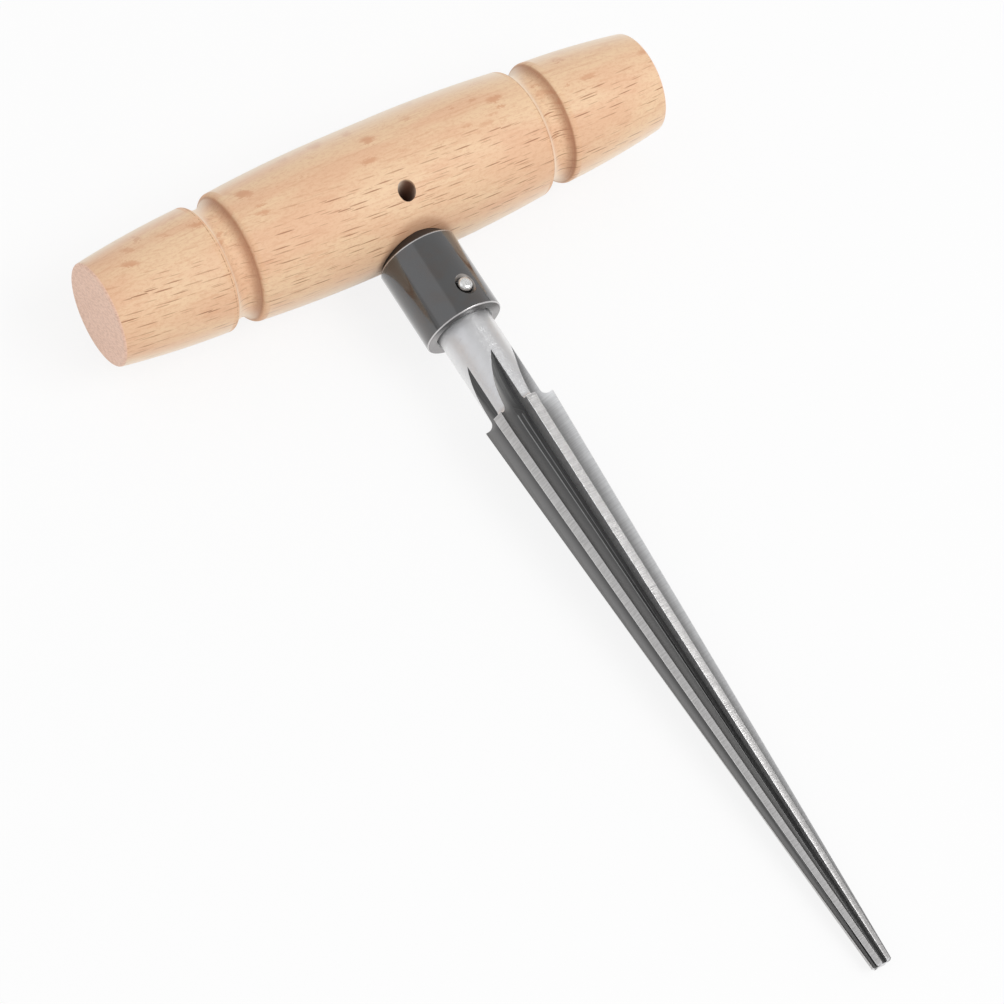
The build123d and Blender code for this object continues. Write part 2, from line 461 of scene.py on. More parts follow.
@dataclass
class Handle:
    """The turned wooden cross handle."""

    length: float = 105.6
    radius: float = 12.3
    barrel_straight: float = 9.0
    end_radius: float = 8.9
    end_crown: float = 0.37
    edge_round: float = 0.5
    groove_place: float = 30.65
    groove_rim_radius: float = 10.95
    groove_bottom_radius: float = 9.5
    groove_arc_radius: float = 2.7
    lip_round: float = 0.8
    stem_bore_radius: float = 5.25
    stem_bore_depth: float = 4.3
    cone_top: float = 11.18
    pin: Pair = HANDLE_PIN
    pin_hole_radius: float = 1.6
    pin_hole_depth: float = 8.0
    segments: int = 256
    seat_segments: int = 128
    straight_steps: int = 3
    barrel_steps: int = 30
    groove_steps: int = 24
    end_steps: int = 24
    lip_steps: int = 8
    edge_steps: int = 6
    end_rings: tuple[float, ...] = (0.97, 0.9, 0.75, 0.5, 0.25, 0.0)
    crease_angle: float = 32.0

    def barrel(self, place: float) -> float:
        """Radius of the barrel.

        Args:
            place: distance from the middle.

        Returns:
            The radius there.
        """
        run = self.groove_place - self.barrel_straight / 2
        drop = self.radius - self.groove_rim_radius
        sweep = (run**2 + drop**2) / (2 * drop)
        past = max(0.0, abs(place) - self.barrel_straight / 2)
        return self.radius - sweep + math.sqrt(sweep**2 - past**2)

    def end(self, place: float) -> float:
        """Radius of an end part.

        Args:
            place: distance from the middle.

        Returns:
            The radius there.
        """
        first = (self.groove_place, self.groove_rim_radius)
        last = (self.length / 2, self.end_radius)
        crown = ((first[0] + last[0]) / 2, (first[1] + last[1]) / 2 + self.end_crown)
        (x, y), sweep = circle_through(first, crown, last)
        return y + math.sqrt(sweep**2 - (place - x) ** 2)

    def sunk(self, form: Callable[[float], float], place: float, depth: float) -> Pair:
        """A point at a depth under the side, square to it.

        Args:
            form: the side's radius at a place.
            place: where on the side.
            depth: how deep.

        Returns:
            The point's place and radius.
        """
        tiny = 0.001
        slope = (form(place + tiny) - form(place - tiny)) / (2 * tiny)
        norm = math.hypot(slope, 1)
        return place + depth * slope / norm, form(place) - depth / norm

    def outline(self) -> Outline:
        """The whole profile from end to end.

        Returns:
            The outline along the handle.
        """
        centre = (self.groove_place, self.groove_bottom_radius + self.groove_arc_radius)
        reach = self.groove_arc_radius + self.lip_round
        tiny = 0.1
        flat = self.length / 2

        def lip(form: Callable[[float], float], side: int) -> float:
            """Find where a lip's round leaves the side.

            Args:
                form: the side's radius at a place.
                side: -1 for the lip before the groove, 1 for the one past it.

            Returns:
                The place.
            """

            def apart(place: float) -> float:
                """How far the lip's centre is from touching the groove."""
                x, y = self.sunk(form, place, self.lip_round)
                return math.hypot(x - centre[0], y - centre[1]) - reach

            return solved(apart, self.groove_place + side * 2 * reach, self.groove_place + side * tiny)

        def angle(start: Pair, end: Pair) -> float:
            """Direction from one point to another, in degrees."""
            return math.degrees(math.atan2(end[1] - start[1], end[0] - start[0]))

        def past_edge(place: float) -> float:
            """How far the end's rounded edge, if it starts here, goes past the flat end."""
            return self.sunk(self.end, place, self.edge_round)[0] - (flat - self.edge_round)

        near, far = lip(self.barrel, -1), lip(self.end, 1)
        inner = self.sunk(self.barrel, near, self.lip_round)
        outer = self.sunk(self.end, far, self.lip_round)
        last = solved(past_edge, far, flat - 0.01)
        corner = self.sunk(self.end, last, self.edge_round)
        start = self.barrel_straight / 2
        half = Outline().curve(self.barrel, 0.0, start, self.straight_steps)
        half.curve(self.barrel, start, near, self.barrel_steps)
        inner_start, inner_end = angle(inner, (near, self.barrel(near))), angle(inner, centre)
        half.arc(inner, self.lip_round, inner_start, inner_end, self.lip_steps)
        groove_start, groove_end = angle(centre, inner) % 360, angle(centre, outer) % 360
        half.arc(centre, self.groove_arc_radius, groove_start, groove_end, self.groove_steps)
        outer_start, outer_end = angle(outer, centre), angle(outer, (far, self.end(far)))
        half.arc(outer, self.lip_round, outer_start, outer_end, self.lip_steps)
        half.curve(self.end, far, last, self.end_steps)
        half.arc(corner, self.edge_round, angle(corner, (last, self.end(last))), 0, self.edge_steps)
        half.to(*((flat, corner[1] * share) for share in self.end_rings))
        return half.doubled()

    def build(self, tool: ToolFrame) -> bpy.types.Object:
        """Make the handle with its bored seat and pin hole.

        Args:
            tool: where the tool lies.

        Returns:
            The handle's object.
        """
        piece = turned("wood_handle", self.outline(), tool.along_handle(), self.segments)
        past = self.radius + self.stem_bore_radius
        outside = self.cone_top + past
        seat = Outline((-self.stem_bore_depth, 0.0), (-self.stem_bore_depth, self.stem_bore_radius))
        seat.to((self.cone_top, self.stem_bore_radius))
        seat.to((outside, self.stem_bore_radius + past), (outside, 0.0))
        hole = rod(-self.pin_hole_depth, 2 * self.radius, self.pin_hole_radius)
        cut(
            piece,
            turned("seat_cutter", seat, tool.world(), self.seat_segments),
            turned("hole_cutter", hole, tool.across(*self.pin), HOLE_SEGMENTS),
        )
        crease(piece, self.crease_angle)
        return piece


@dataclass
class Collar:
    """The dark steel collar with its stem."""

    radius: float = 7.0
    top: float = 13.0
    bottom: float = 28.0
    edge_round: float = 0.25
    stem_radius: float = 5.2
    stem_depth: float = 4.0
    stem_bevel: float = 0.5
    bore_radius: float = 4.85
    bore_depth: float = 12.5
    bore_bevel: float = 0.4
    pin: Pair = SHANK_PIN
    pin_hole_radius: float = 1.47
    sink: float = 0.55
    stem_pin: Pair = HANDLE_PIN
    stem_hole_radius: float = 1.53
    cone_angle: float = 45.0
    cutter_reach: float = 3.0
    segments: int = 192
    hole_segments: int = 64
    shoulder_steps: int = 5
    side_steps: int = 12
    rim_steps: int = 6
    crease_angle: float = 28.0

    def outline(self) -> Outline:
        """The profile from the stem's end to the bore's floor.

        Returns:
            The outline down the tool.
        """
        cone_top = self.top - (self.radius - self.stem_radius)
        rim = self.edge_round
        mouth = self.bore_radius + self.bore_bevel
        floor = self.bottom - self.bore_depth
        shape = Outline((-self.stem_depth, 0.0), (-self.stem_depth, self.stem_radius - self.stem_bevel))
        shape.to((self.stem_bevel - self.stem_depth, self.stem_radius), (cone_top, self.stem_radius))
        shoulder = (self.top + rim * math.tan(math.radians(self.cone_angle / 2)), self.radius - rim)
        shape.arc(shoulder, rim, 180 - self.cone_angle, 90, self.shoulder_steps)
        shape.curve(lambda _: self.radius, self.top + rim, self.bottom - rim, self.side_steps)
        shape.arc((self.bottom - rim, self.radius - rim), rim, 90, 0, self.rim_steps)
        shape.to((self.bottom, between(mouth, self.radius - rim, 0.5)), (self.bottom, mouth))
        shape.to((self.bottom - self.bore_bevel, self.bore_radius))
        return shape.to((floor, self.bore_radius), (floor, 0.0))

    def build(self, tool: ToolFrame) -> bpy.types.Object:
        """Make the collar with its countersunk cross hole.

        Args:
            tool: where the tool lies.

        Returns:
            The collar's object.
        """
        piece = turned("collar_body", self.outline(), tool.world(), self.segments)
        wide = self.pin_hole_radius + self.sink
        outside = self.radius + self.cutter_reach
        hole = Outline((0.0, self.pin_hole_radius), (self.radius - self.sink, self.pin_hole_radius))
        hole.to((self.radius, wide), (outside, wide + self.cutter_reach), (outside, 0.0))
        stem_hole = rod(-2 * self.radius, 2 * self.radius, self.stem_hole_radius)
        cut(
            piece,
            turned("hole_cutter", hole.doubled(), tool.across(*self.pin), self.hole_segments),
            turned("stem_cutter", stem_hole, tool.across(*self.stem_pin), HOLE_SEGMENTS),
        )
        crease(piece, self.crease_angle)
        return piece


class Zone(Enum):
    """The ground faces of the reamer, in order round one tooth."""

    SHANK = 0
    SHOULDER = 1
    LAND = 2
    EDGE = 3
    FRONT = 4
    FLOOR = 5
    FLANK = 6
    TIP = 7


@dataclass(frozen=True)
class Station:
    """One row of the reamer's mesh: where it is cut and what bounds it outside."""

    outer: float
    inner: float
    radius: float
    zone: Zone


@dataclass
class Reamer:
    """The shank and the fluted taper, ground from one bar.

    A pair holds a measure at the shoulder and at the tip. The corner and the ridge are points, as shares
    of the radius, at the shoulder and at the tip.
    """

    shank_radius: float = 4.8
    shank_top: float = 15.8
    shank_bevel: float = 0.4
    shoulder_place: float = 45.45
    shoulder_round: float = 1.2
    cutter_radius: float = 6.5
    tip_radius: float = 1.75
    cutter_length: float = 105.95
    tip_bevel: float = 0.25
    flutes: int = 6
    first_edge_angle: float = -4.5
    rake: Pair = (0.1, 0.55)
    land: Pair = (1.77, 0.92)
    floor: Pair = (0.42, 0.45)
    corner: tuple[Pair, Pair] = ((-0.14, 0.48), (-0.04, 0.565))
    ridge: tuple[Pair, Pair] = ((-0.28, 0.51), (-0.115, 0.73))
    hollow: float = 0.055
    wheel_radius: float = 50.0
    wheel_lift: float = 4.15
    hone: float = 0.06
    outside: float = 3.0
    pin: Pair = SHANK_PIN
    pin_hole_radius: float = 1.28
    land_steps: int = 18
    front_steps: int = 8
    floor_steps: int = 5
    flank_steps: int = 14
    plain_rows: int = 8
    run_out_rows: int = 40
    run_out_crowding: float = 1.6
    taper_rows: int = 24
    shoulder_rows: int = 16
    root_rows: int = 11
    sharp_angle: float = 35.0

    def share(self, place: float) -> float:
        """How far a place is from the shoulder towards the tip."""
        return (place - self.shoulder_place) / self.cutter_length

    def edge_radius(self, place: float) -> float:
        """Radius of the cutting edges."""
        return between(self.cutter_radius, self.tip_radius, self.share(place))

    def section(self, place: float) -> list[Vector]:
        """Corners of a flute: edge, foot, corner, ridge, hollow and heel of the next tooth.

        Args:
            place: millimetres down the tool, no nearer the handle than where the wheel lifts.

        Returns:
            Six points, measured from the tooth's flat front.
        """
        share = self.share(place)
        radius = self.edge_radius(place)
        rake = between(*self.rake, share)
        edge = Vector((rake, math.sqrt(radius**2 - rake**2)))
        heel = edge.copy()
        heel.rotate(Matrix.Rotation(2 * math.pi / self.flutes - between(*self.land, share) / radius, 2))
        corner, ridge = (
            Vector([between(wide, tip, share) * radius for wide, tip in zip(*ends)])
            for ends in (self.corner, self.ridge)
        )
        foot = Vector((rake, between(*self.floor, share) * radius))
        along = (ridge - heel).normalized()
        hollow = (heel + ridge) / 2 + Vector((along.y, -along.x)) * self.hollow * radius
        return [edge, foot, corner, ridge, hollow, heel]

    def flute(self, share: float, place: float) -> Vector:
        """A point of the flute's surface.

        Args:
            share: 0 at the edge, 1 at the foot, 2 at the corner, 3 at the ridge and 4 at the heel. The
                two walls go on outside the tool below 0 and above 4.
            place: millimetres down the tool.

        Returns:
            The point across the tool, measured from the tooth's flat front.
        """
        lift_place = self.shoulder_place + self.wheel_lift
        edge, foot, corner, ridge, hollow, heel = self.section(max(place, lift_place))
        if share > 4:
            point = heel + heel.normalized() * self.outside * (share - 4)
        elif share > 3:
            centre, radius = circle_through(tuple(ridge), tuple(hollow), tuple(heel))
            start = math.atan2(ridge.y - centre[1], ridge.x - centre[0])
            sweep = math.atan2(heel.y - centre[1], heel.x - centre[0]) - start
            sweep = (sweep + math.pi) % (2 * math.pi) - math.pi
            point = Vector(polar(radius, start + sweep * (share - 3), *centre))
        else:
            side = min(max(math.ceil(share) - 1, 0), 2)
            ends = (edge, foot, corner, ridge)
            point = ends[side].lerp(ends[side + 1], share - side)
        back = lift_place - place
        if back > 0:
            height = between(*self.floor, self.share(lift_place)) * self.edge_radius(lift_place)
            height += self.wheel_radius
            point.y = height - math.sqrt(max((height - point.y) ** 2 - back**2, 0.0))
        return point

    def bounds(self, radius: float, place: float, vanish: float) -> Pair | None:
        """Where a circle leaves the flute.

        Args:
            radius: the circle's radius.
            place: millimetres down the tool.
            vanish: the share of the flute where its run-out ends.

        Returns:
            The shares on the front and on the flank, or nothing where the flute is outside the circle.
        """
        fine, past = 40, 12
        shares = sorted([step / fine for step in range(-past, 4 * fine + past + 1)] + [vanish])

        def over(share: float) -> float:
            """How far the flute is outside the circle."""
            return self.flute(share, place).length - radius

        inside = [number for number, share in enumerate(shares) if over(share) < 0]
        if not inside:
            return None
        first, last = inside[0], inside[-1]
        front = solved(over, shares[first - 1], shares[first])
        return front, solved(over, shares[last], shares[last + 1])

    def run_out(self) -> Pair:
        """Where a flute ends in the shank.

        Returns:
            The place down the tool and the share of the flute's width.
        """
        shares = spread(0.0, 4.0, 400)

        def deepest(place: float) -> float:
            """How far the flute reaches under the shank's surface."""
            return self.shank_radius - min(self.flute(share, place).length for share in shares)

        far_back = self.shoulder_place - self.wheel_radius / 3
        top = solved(deepest, far_back, self.shoulder_place)
        return top, min(shares, key=lambda share: self.flute(share, top).length)

    def stations(self, top: float) -> list[Station]:
        """Every row of the mesh, from the shank's top to the tip.

        The rows lean at the shoulder: a flute's own points follow the land's by up to the lag.

        Args:
            top: where the flutes' run-outs begin.

        Returns:
            The rows in order.
        """
        lag, ease, first_land = 1.0, 0.4, self.shoulder_place + 0.7
        root = self.shoulder_place - self.shoulder_round
        places = spread(self.shank_top + self.shank_bevel, top, self.plain_rows)
        places += spread(top, root, self.run_out_rows, self.run_out_crowding)[1:]
        rows = [Station(self.shank_top, self.shank_top, self.shank_radius - self.shank_bevel, Zone.SHANK)]
        rows += [Station(place, place, self.shank_radius, Zone.SHANK) for place in places]
        end = self.shoulder_place + lag
        face = self.shank_radius + self.shoulder_round
        for step in range(1, self.shoulder_rows + 1):
            angle = math.pi / 2 * min(step / self.root_rows, 1)
            radius = face - self.shoulder_round * math.cos(angle)
            past = max(0, step - self.root_rows) / (self.shoulder_rows - self.root_rows)
            radius += (self.cutter_radius - face) * past
            outer = root + self.shoulder_round * math.sin(angle)
            inner = between(root, end, step / self.shoulder_rows)
            rows.append(Station(outer, inner, radius, Zone.SHOULDER))
        tip = self.shoulder_place + self.cutter_length
        rows.append(Station(first_land, end + ease, self.edge_radius(first_land), Zone.LAND))
        places = spread(end + 2 * ease, self.shoulder_place + self.wheel_lift, self.plain_rows)
        places += spread(places[-1], tip - self.tip_bevel, self.taper_rows)[1:]
        rows += [Station(place, place, self.edge_radius(place), Zone.LAND) for place in places]
        rows.append(Station(tip, tip, self.tip_radius - self.tip_bevel, Zone.TIP))
        return rows

    def row_points(self, row: Station, vanish: float) -> list[tuple[Vector, float]]:
        """Points of one row across one tooth and the flute in front of it.

        Args:
            row: the row.
            vanish: the share of the flute where its run-out ends.

        Returns:
            Points across the tool with their places down it, from heel to heel.
        """
        found = self.bounds(row.radius, row.outer, vanish)
        first, last = found or (vanish, vanish)
        front_top = self.flute(first, row.outer).normalized() * row.radius
        flank_top = self.flute(last, row.outer).normalized() * row.radius
        start = math.atan2(flank_top.y, flank_top.x) - 2 * math.pi / self.flutes
        sweep = (math.atan2(front_top.y, front_top.x) - start) % (2 * math.pi)
        strip = self.hone / row.radius
        angles = [*spread(start, start + sweep - strip, self.land_steps), start + sweep]
        points = [(Vector(polar(row.radius, angle)), row.outer) for angle in angles]
        counts = (self.front_steps, self.floor_steps, self.floor_steps, self.flank_steps)
        for side, steps in enumerate(counts):
            low = first if side == 0 else min(max(side, first), last)
            high = last if side == 3 else min(max(side + 1, first), last)
            depths = (row.outer if side == 0 else row.inner, row.outer if side == 3 else row.inner)
            for share, place in list(zip(spread(low, high, steps), spread(*depths, steps)))[1:]:
                made = (self.flute(share, place), place)
                points.append(made if found else (front_top.copy(), row.outer))
        points[-1] = (flank_top, row.outer)
        return points

    def column_zone(self, column: int, row: Station, after: Station) -> Zone:
        """Which face of the tool lies between two columns and two rows.

        Args:
            column: the first of the two columns.
            row: the first of the two rows.
            after: the second of the two rows.

        Returns:
            The zone.
        """
        counts = (self.land_steps, 1, self.front_steps, 2 * self.floor_steps, self.flank_steps)
        zones = (Zone.LAND, Zone.EDGE, Zone.FRONT, Zone.FLOOR, Zone.FLANK)
        zone = [zone for zone, count in zip(zones, counts) for _ in range(count)][column]
        if zone is Zone.LAND or zone is Zone.EDGE and row.zone is not Zone.LAND:
            inside_shoulder = row.zone is Zone.SHOULDER and after.zone is not Zone.LAND
            return Zone.SHOULDER if inside_shoulder else after.zone
        return zone

    def tooth(self) -> bpy.types.Object:
        """Make one tooth with the flute in front of it, a sixth of the tool, upright at the origin.

        Returns:
            An object in metres whose third axis is the tool's.
        """
        top, vanish = self.run_out()
        log.info("flutes run out %.2f mm down the tool, at share %.2f", top, vanish)
        rows = self.stations(top)
        spin = math.radians(self.first_edge_angle) - math.asin(self.rake[0] / self.cutter_radius)
        turn = Matrix.Rotation(-spin, 3, "Z")
        build = bmesh.new()
        uv = build.loops.layers.uv.new("ground")
        zones = build.faces.layers.int.new("zone_number")
        pale_line = build.verts.layers.float.new("pale_line")
        height = build.verts.layers.float.new("height")
        corner = self.land_steps + 1 + self.front_steps + self.floor_steps
        ridge = corner + self.floor_steps
        grid, lengths = [], []
        for row in rows:
            points = self.row_points(row, vanish)
            line = [build.verts.new(turn @ Vector((*point, place)) * MM) for point, place in points]
            run = [0.0]
            for before, vertex in zip(line, line[1:]):
                run.append(run[-1] + (vertex.co - before.co).length / MM)
            for column, vertex in enumerate(line):
                vertex[pale_line] = float(column in (corner, ridge) and row.outer > self.shoulder_place)
                vertex[height] = max(0.0, (column - ridge) / self.flank_steps)
            grid.append(line)
            lengths.append([(across, place) for across, (_, place) in zip(run, points)])
        for r in range(len(rows) - 1):
            for c in range(len(grid[r]) - 1):
                corners = ((r, c), (r, c + 1), (r + 1, c + 1), (r + 1, c))
                face = build.faces.new([grid[i][j] for i, j in corners])
                face[zones] = self.column_zone(c, rows[r], rows[r + 1]).value
                for loop, (i, j) in zip(face.loops, corners):
                    loop[uv].uv = lengths[i][j]
        for line, row in ((grid[0], rows[0]), (grid[-1], rows[-1])):
            face = build.faces.new([build.verts.new((0, 0, row.outer * MM)), *line])
            face[zones] = row.zone.value
        bmesh.ops.remove_doubles(build, verts=build.verts, dist=SAME_POINT)
        bmesh.ops.dissolve_degenerate(build, edges=build.edges, dist=SAME_POINT)
        return piece_from("cutter", build, Matrix())

    def sharpen(self, piece: bpy.types.Object) -> None:
        """Shade the ground faces smooth and the lines between them sharp.

        Args:
            piece: the whole reamer.
        """
        build = bmesh.new()
        build.from_mesh(piece.data)
        zones = build.faces.layers.int["zone_number"]
        bmesh.ops.recalc_face_normals(build, faces=build.faces)
        alike = ({Zone.SHANK, Zone.SHOULDER}, {Zone.LAND, Zone.EDGE})
        for face in build.faces:
            face.smooth = True
        for edge in build.edges:
            near = {Zone(face[zones]) for face in edge.link_faces}
            plain = len(near) == 1 or near in alike
            edge.smooth = plain and edge.calc_face_angle(0.0) < math.radians(self.sharp_angle)
        build.to_mesh(piece.data)
        build.free()

    def ring_of_teeth(self, material: bpy.types.Material) -> bpy.types.NodeTree:
        """Build the node tree that repeats one tooth round the tool's axis.

        Args:
            material: what the teeth are dressed in.

        Returns:
            The tree, with inputs for the number of teeth and for the tool's place.
        """
        tree = bpy.data.node_groups.new("ring_of_teeth", "GeometryNodeTree")
        given = {"Tooth": "Geometry", "Teeth": "Int", "Middle": "Vector", "Lean": "Rotation"}
        for name, kind in given.items():
            tree.interface.new_socket(name, in_out="INPUT", socket_type="NodeSocket" + kind)
        tree.interface.new_socket("Reamer", in_out="OUTPUT", socket_type="NodeSocketGeometry")
        graph = Graph(tree)
        tooth = graph.add("NodeGroupInput")
        teeth = tooth.beside("Teeth")
        index = graph.add("GeometryNodeInputIndex")
        angle = teeth.maths("DIVIDE", 2 * math.pi, teeth) * index
        turn = graph.add("FunctionNodeAxisAngleToRotation", {}, {"Axis": (0, 0, 1), "Angle": angle})
        on_copies = {"data_type": "FLOAT", "domain": "INSTANCE"}
        laid = {"Translation": tooth.beside("Middle"), "Rotation": tooth.beside("Lean")}
        made = graph.add("GeometryNodePoints", {}, {"Count": teeth, "Radius": MM})
        for kind, settings, sockets in (
            ("GeometryNodeInstanceOnPoints", {}, {"Instance": tooth, "Rotation": turn}),
            ("GeometryNodeStoreNamedAttribute", on_copies, {"Name": "tooth", "Value": index}),
            ("GeometryNodeRealizeInstances", {}, {}),
            ("GeometryNodeMergeByDistance", {}, {"Distance": SAME_POINT}),
            ("GeometryNodeTransform", {}, laid),
            ("GeometryNodeSetMaterial", {}, {"Material": material}),
            ("NodeGroupOutput", {}, {}),
        ):
            made = graph.add(kind, settings, {0: made, **sockets})
        return tree

    def build(self, tool: ToolFrame, material: bpy.types.Material) -> bpy.types.Object:
        """Make the whole reamer.

        Args:
            tool: where the tool lies.
            material: the ground steel.

        Returns:
            The reamer's object.
        """
        piece = self.tooth()
        tree = self.ring_of_teeth(material)
        modifier = piece.modifiers.new("teeth", "NODES")
        modifier.node_group = tree
        inputs = {item.name: item.identifier for item in tree.interface.items_tree}
        place, lean, _ = tool.world().decompose()
        for name, value in (("Teeth", self.flutes), ("Middle", place), ("Lean", lean.to_euler())):
            modifier[inputs[name]] = value
        plain_copy(piece)
        hole = rod(-2 * self.shank_radius, 2 * self.shank_radius, self.pin_hole_radius)
        cut(piece, turned("hole_cutter", hole, tool.across(*self.pin), HOLE_SEGMENTS))
        self.sharpen(piece)
        return piece


@dataclass
class ShankPin:
    """The pin through the collar and the shank."""

    radius: float = 1.25
    half_length: float = 7.35
    dome: float = 0.7
    pin: Pair = SHANK_PIN
    segments: int = 64
    dome_steps: int = 10
    crease_angle: float = 40.0

    def build(self, tool: ToolFrame) -> bpy.types.Object:
        """Make the pin with its rounded ends.

        Args:
            tool: where the tool lies.

        Returns:
            The pin's object.
        """
        flat = self.radius - self.dome
        half = Outline((0.0, self.radius), (self.half_length - self.dome, self.radius))
        half.arc((self.half_length - self.dome, flat), self.dome, 90, 0, self.dome_steps)
        half.to((self.half_length, flat / 2), (self.half_length, 0.0))
        piece = turned("cross_pin", half.doubled(), tool.across(*self.pin), self.segments)
        crease(piece, self.crease_angle)
        return piece


@dataclass(frozen=True)
class Rays:
    """One size of the thin plates that cross beech and show as dashes or flecks."""

    spacing: Triple
    size: Triple
    shift: float

    def mask(self, graph: Graph, place: Wire) -> Wire:
        """Show the plates.

        Args:
            graph: the wood's graph.
            place: millimetres along the grain, across the rings and along the rings.

        Returns:
            A wire that is 1 inside a plate.
        """
        scale = tuple(1 / spacing for spacing in self.spacing)
        cell = graph.maths("MULTIPLY", graph.maths("ADD", place, (self.shift, 0.0, 0.0)), scale)
        nearest = graph.add("ShaderNodeTexVoronoi", {}, {"Vector": cell, "Scale": 1.0}, "Position")
        stretch = tuple(spacing / size for spacing, size in zip(self.spacing, self.size))
        apart = graph.maths("MULTIPLY", graph.maths("SUBTRACT", cell, nearest), stretch)
        return graph.maths("LENGTH", apart, out="Value").step(1.1, 0.55)


@dataclass(frozen=True)
class Beech:
    """Sanded beech without varnish.

    The rings' lean is the cosine and sine of their angle to the row, and the flat way is the direction in
    which the plates are seen from their broad side.
    """

    tool: ToolFrame
    handle: Handle
    groove_reach: float = 2.2
    bump_depth: float = 0.045
    lean: Pair = (0.83, 0.55)
    flat_way: Triple = (0.0, -0.906, 0.423)
    large: Rays = Rays((6.0, 9.0, 2.4), (1.9, 3.2, 0.36), 3.0)
    lens: Rays = Rays((4.2, 6.0, 1.9), (1.3, 2.2, 0.18), 17.0)
    small: Rays = Rays((4.6, 7.0, 1.3), (2.1, 3.4, 0.11), 11.0)
    fine: Rays = Rays((3.6, 5.0, 1.1), (1.3, 2.2, 0.07), 29.0)
    pale: Triple = (0.87, 0.61, 0.385)
    pink: Triple = (0.83, 0.52, 0.325)
    fleck: Triple = (0.7, 0.37, 0.21)
    dash: Triple = (0.33, 0.115, 0.04)
    end_grain: Triple = (0.97, 0.65, 0.5)
    cove: Triple = (0.42, 0.175, 0.085)
    painted_hole_shade: Triple = (0.2, 0.085, 0.045)
    painted_rim_sheen: Triple = (1.0, 0.83, 0.65)

    def grain(self, graph: Graph) -> Wire:
        """Place in the wood.

        Args:
            graph: the wood's graph.

        Returns:
            Millimetres along the grain, across the rings and along the rings.
        """
        x, y, z = graph.from_middle(self.tool)
        cos, sin = self.lean
        wander = (graph.noise(graph.vector(x, 0.0, 0.0), 0.04) - 0.5) * 1.2
        return graph.vector(x, z * sin - y * cos + wander, y * sin + z * cos + x * 0.05)

    def material(self) -> bpy.types.Material:
        """Make the wood's material.

        Returns:
            The material.
        """
        material, graph = new_material("handle_wood")
        handle = self.handle
        grain = self.grain(graph)
        along, rings, tangent = graph.parts(grain)
        soft = graph.noise(grain, (0.05, 0.28, 0.12), 3.0)
        streak = graph.noise(grain, (0.05, 1.9, 1.3), 3.0, 0.6)
        fibre = graph.noise(grain, (0.35, 7.0, 7.0), 2.0)
        short = graph.noise(grain, (1.2, 2.4, 2.4), 3.0, 0.75)
        torn = graph.noise(grain, (1.1, 2.6, 2.6), 3.0, 0.65)
        lathe = graph.noise(grain, (7.0, 0.08, 0.08), 3.0)
        speck = graph.noise(grain, (0.1, 1.2, 3.4), 4.0, 0.7)
        patchy = graph.noise(grain, (0.12, 0.3, 0.5)).step(0.35, 0.6)

        colour = graph.colour(soft.step(0.38, 0.64), self.pale, self.pink)
        colour = graph.colour((streak - 0.5).step(0.02, 0.2) * 0.35, colour, self.fleck)
        colour = graph.colour((fibre - 0.5).step(0.0, 0.25) * 0.25, colour, self.fleck)
        colour = graph.colour((short - 0.5).step(-0.03, 0.12) * 0.3, colour, self.fleck)

        normal = graph.add("ShaderNodeNewGeometry", {}, {}, "Normal")
        flat = graph.maths("DOT_PRODUCT", normal, self.flat_way, "Value").size().step(0.42, 0.75)
        bent = graph.maths("ADD", grain, graph.vector((torn - 0.5) * 1.4, 0.0, (short - 0.5) * 1.1))
        small = self.small.mask(graph, grain)
        flecks = self.large.mask(graph, bent).over(self.lens.mask(graph, bent) * 0.85)
        ray = graph.colour(flat, self.fleck, self.dash)
        colour = graph.colour(flecks * patchy.span(0.55, 1.0) * (1 - flat), colour, self.fleck)
        colour = graph.colour(small * patchy.span(0.45, 0.95) * flat.span(0.3, 0.85), colour, ray)
        colour = graph.colour(self.fine.mask(graph, grain) * flat.span(0.12, 0.42), colour, ray)

        from_groove = along.size() - handle.groove_place
        reach = from_groove.size()
        in_cove = reach.step(self.groove_reach + 0.25, self.groove_reach - 0.1)
        slope = graph.parts(normal)[0]
        wall = in_cove * slope.size().step(0.1, 0.85)
        # Lathe marks darken the groove walls; on the walls that face -X they are stronger, as painted
        # shade on the side turned from the light.
        tooled_and_shaded = wall * lathe.span(0.55, 0.95) * slope.step(0.1, -0.5).span(0.25, 1.0)
        colour = graph.colour(tooled_and_shaded, colour, self.cove)
        colour = graph.colour(in_cove * torn.step(0.5, 0.72) * 0.3, colour, self.cove)
        on_left = from_groove * along.maths("SIGN", along) + self.groove_reach
        lip = (on_left + 0.45).size().step(0.13, 0.03)
        colour = graph.colour(lip * torn.step(0.35, 0.6) * 0.6, colour, self.dash)

        end = along.size().step(handle.length / 2 - 0.4, handle.length / 2 - 0.2)
        face = graph.colour(speck.step(0.42, 0.62) * 0.3, self.end_grain, self.cove)
        colour = graph.colour(end, colour, face)

        side, up, down = graph.on_tool(self.tool)
        # Painted shadow: the wood round the collar's seat is darkened with the cove brown as the collar's
        # contact shadow.
        seat = side.hypot(up).step(7.9, 6.6) * down.step(8.0, 10.0)
        colour = graph.colour(seat * 0.4, colour, self.cove)
        # Painted shade: the pin hole's wall is made dark below the surface.
        hole_radius = handle.pin_hole_radius
        in_hole = side.hypot(down - handle.pin[0]).step(hole_radius + 0.08, hole_radius + 0.02)
        deep = rings.hypot(tangent).step(handle.radius - 0.1, handle.radius - 0.7)
        colour = graph.colour(in_hole * deep, colour, self.painted_hole_shade)

